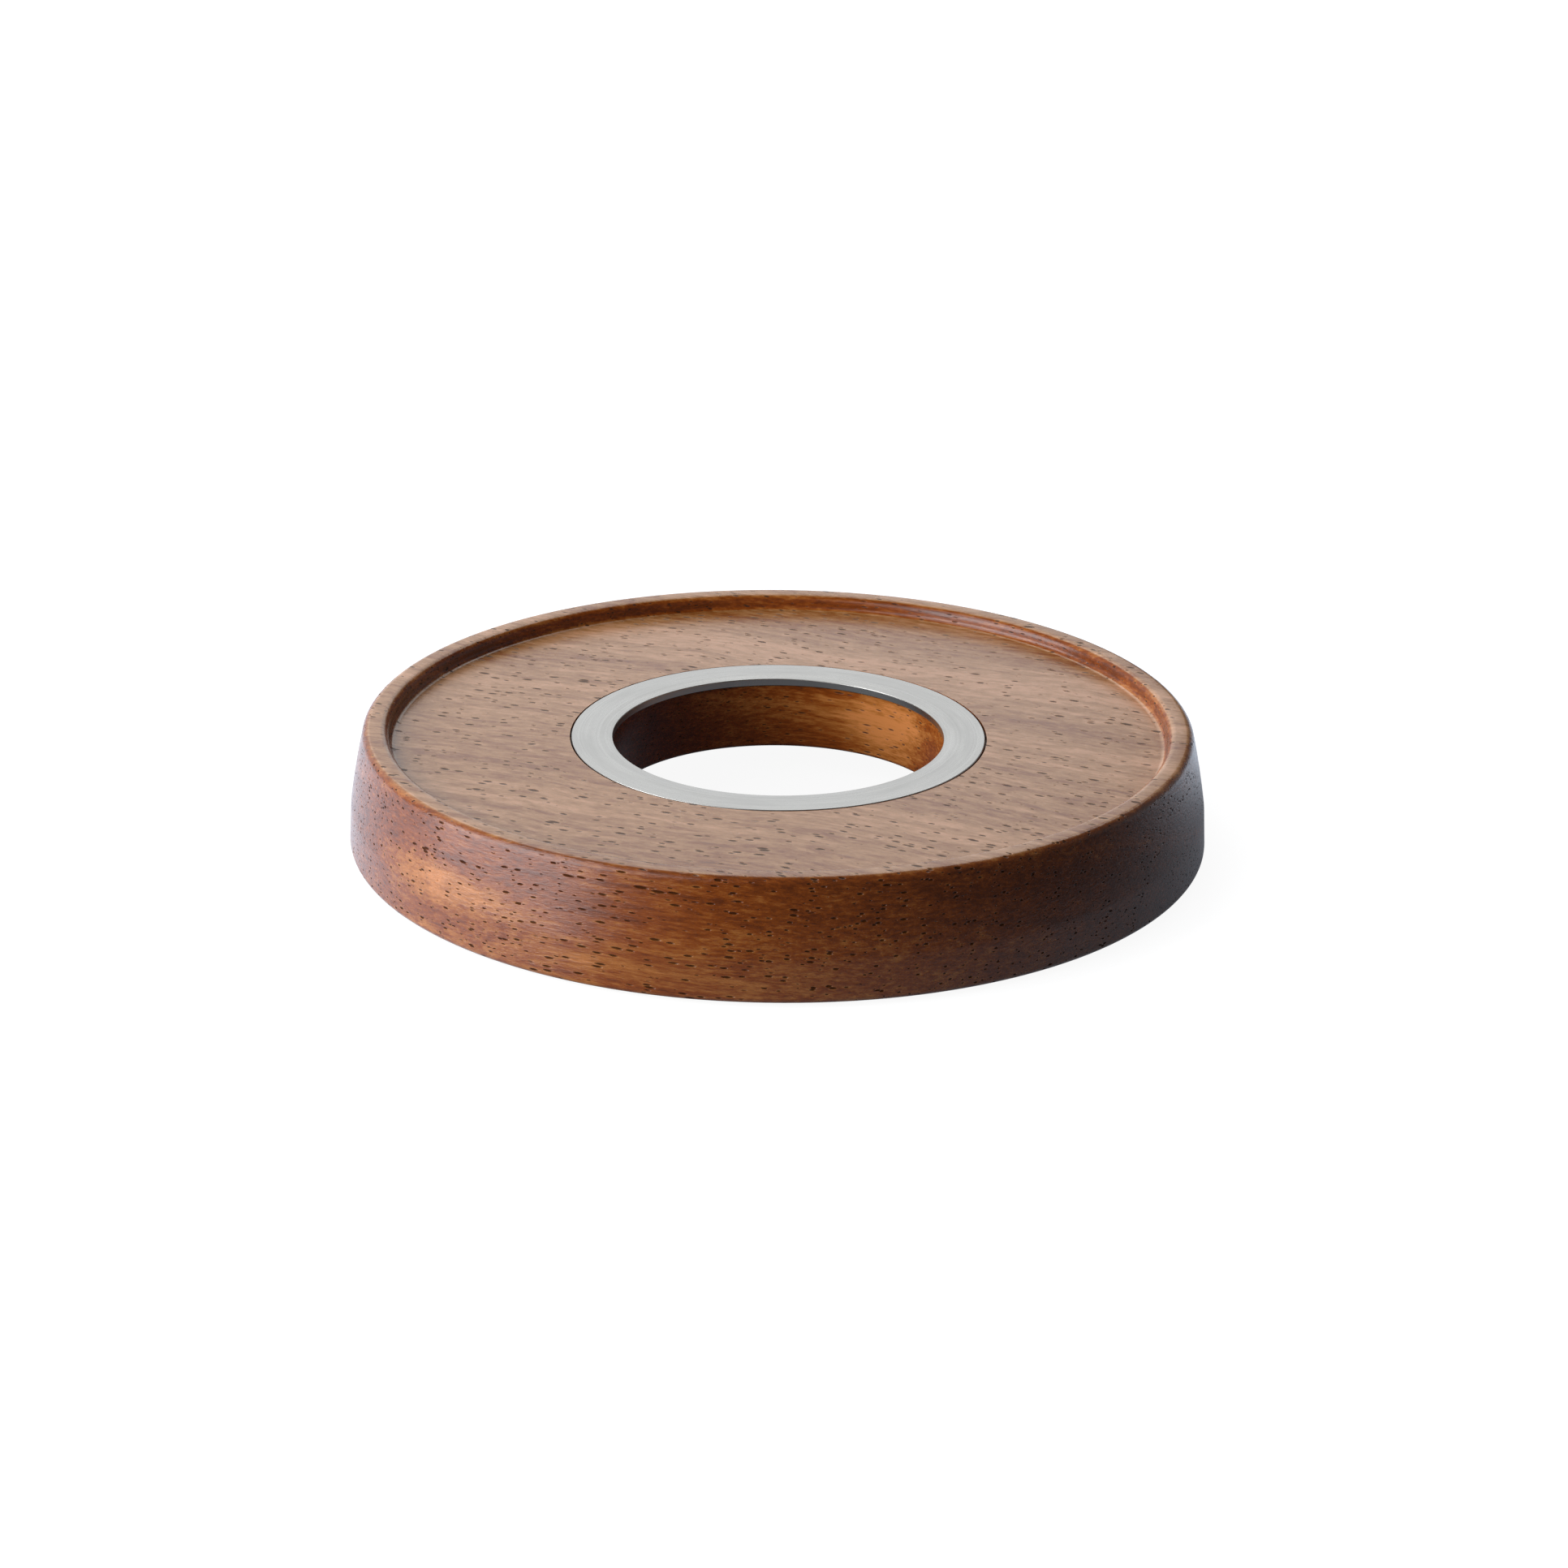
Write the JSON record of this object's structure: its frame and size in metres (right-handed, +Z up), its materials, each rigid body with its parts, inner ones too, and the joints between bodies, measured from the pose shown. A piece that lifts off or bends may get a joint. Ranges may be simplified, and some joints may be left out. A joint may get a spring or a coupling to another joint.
{
  "type": "wooden coaster",
  "caption": "Turned hardwood coaster with a raised rim, a flat steel ring let into its recess round a through hole, and rubber feet; stands under a vessel with a round base.",
  "frame": {"origin": "centre of the surface that the rubber feet stand on, on the turning axis", "axes": "+Z up along the turning axis, +X to the right in the picture, -Y towards its front"},
  "size_m": [0.2074, 0.2074, 0.0294],
  "materials": {
    "hardwood": "turned, sanded and oiled to a satin sheen",
    "turned_steel": "faced on a lathe, fine concentric marks, satin",
    "adhesive": "cured film",
    "rubber": "moulded, matt black"
  },
  "bodies": {
    "root": {"coaster_body": "hardwood", "steel_ring": "turned_steel", "ring_bond": "adhesive", "foot_pad_1": "rubber", "foot_pad_2": "rubber", "foot_pad_3": "rubber", "foot_pad_4": "rubber"}
  },
  "joints": []
}
